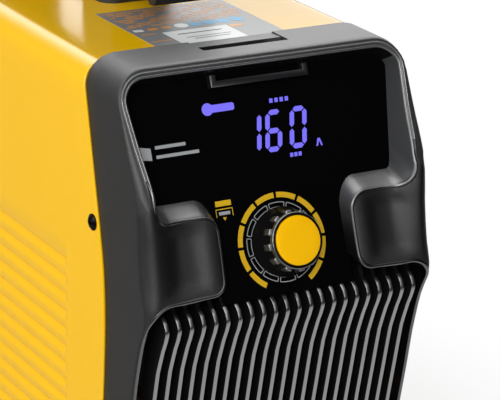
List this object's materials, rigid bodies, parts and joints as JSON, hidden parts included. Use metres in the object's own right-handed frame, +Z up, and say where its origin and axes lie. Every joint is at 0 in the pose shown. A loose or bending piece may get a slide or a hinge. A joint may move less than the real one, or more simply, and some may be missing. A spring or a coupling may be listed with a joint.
{
  "type": "stick welding inverter",
  "caption": "Compact stick welding power source: sheet-metal cover, slanted glossy control window with push-and-turn knob, ribbed front, two cable sockets and a carrying handle.",
  "frame": {"origin": "on the floor, under the middle of the machine's overall box", "axes": "+Z up, front faces -Y, +X to the right as seen from the front"},
  "size_m": [0.126, 0.3, 0.276],
  "materials": {
    "yellow_paint": "satin yellow powder coat on sheet steel",
    "zinc_sheet": "zinc-plated sheet",
    "black_moulding": "fine-grained black moulding",
    "satin_liner": "smooth satin dark grey moulding",
    "black_glass": "glossy black window",
    "gloss_black": "glossy black moulding",
    "knob_yellow": "satin yellow cap",
    "soft_grip": "soft matte overmould",
    "foot_rubber": "black rubber",
    "label_grey": "printed grey film with plain bars",
    "blackened_screw": "black oxide",
    "steel_screw": "zinc-plated steel",
    "nylon_black": "black nylon",
    "brass": "turned brass",
    "copper": "bare copper",
    "board_green": "green laminate",
    "module_black": "dark display module",
    "spacer_white": "white nylon",
    "aluminium": "extruded aluminium",
    "capacitor_sleeve": "dark sleeve",
    "relay_blue": "blue case",
    "ferrite": "sintered ferrite"
  },
  "bodies": {
    "case": {"cover_shell": "yellow_paint", "base_tray": "zinc_sheet", "front_bezel": "black_moulding", "panel_surround": "satin_liner", "strap_loop": "satin_liner", "display_window": "black_glass", "rib_grille": "gloss_black", "socket_plate": "black_moulding", "rear_panel": "black_moulding", "rubber_feet": "foot_rubber", "foot_screws": "steel_screw", "side_screws": "blackened_screw", "handle_frame": "black_moulding", "handle_grip": "soft_grip", "handle_feet": "satin_liner", "handle_screws": "steel_screw", "rating_label": "label_grey", "encoder_housing": "steel_screw", "encoder_nut": "steel_screw", "display_board": "board_green", "display_module": "module_black", "board_spacers": "spacer_white", "board_screws": "steel_screw", "socket_insulators": "nylon_black", "positive_contact": "brass", "negative_contact": "brass", "socket_rings": "nylon_black", "contact_nuts": "steel_screw", "switch_housing": "nylon_black", "cable_gland": "nylon_black", "gland_nut": "nylon_black", "fan_frame": "nylon_black", "fan_guard": "black_moulding", "fan_screws": "steel_screw", "main_board": "board_green", "main_standoffs": "brass", "main_screws": "steel_screw", "heat_sinks": "aluminium", "transistors": "nylon_black", "bridge_rectifier": "nylon_black", "bus_capacitors": "capacitor_sleeve", "relay": "relay_blue", "control_board": "board_green", "transformer_core": "ferrite", "transformer_winding": "copper", "choke_core": "ferrite", "choke_winding": "copper", "positive_busbar": "copper", "negative_busbar": "copper", "earth_stud": "brass"},
    "plunger": {"encoder_plunger": "nylon_black"},
    "knob": {"encoder_shaft": "steel_screw", "knob_body": "gloss_black", "knob_cap": "knob_yellow"},
    "rocker": {"switch_rocker": "gloss_black"},
    "rotor": {"fan_rotor": "nylon_black"}
  },
  "joints": [
    {"name": "knob_push", "type": "slide", "parent": "case", "child": "plunger", "axis": [0, 0.9325, -0.3611], "range_m": [0, 0.0006], "stiffness_N_per_m": 6000, "springref_m": -0.0004},
    {"name": "knob_turn", "type": "hinge", "parent": "plunger", "child": "knob", "pos_m": [0, -0.13496, 0.15227], "axis": [0, -0.9325, 0.3611], "continuous": true},
    {"name": "power_rocker", "type": "hinge", "parent": "case", "child": "rocker", "pos_m": [-0.029, 0.1336, 0.16], "axis": [1, 0, 0], "range_deg": [-20, 0]},
    {"name": "fan_spin", "type": "hinge", "parent": "case", "child": "rotor", "pos_m": [0, 0.109, 0.062], "axis": [0, 1, 0], "continuous": true}
  ]
}
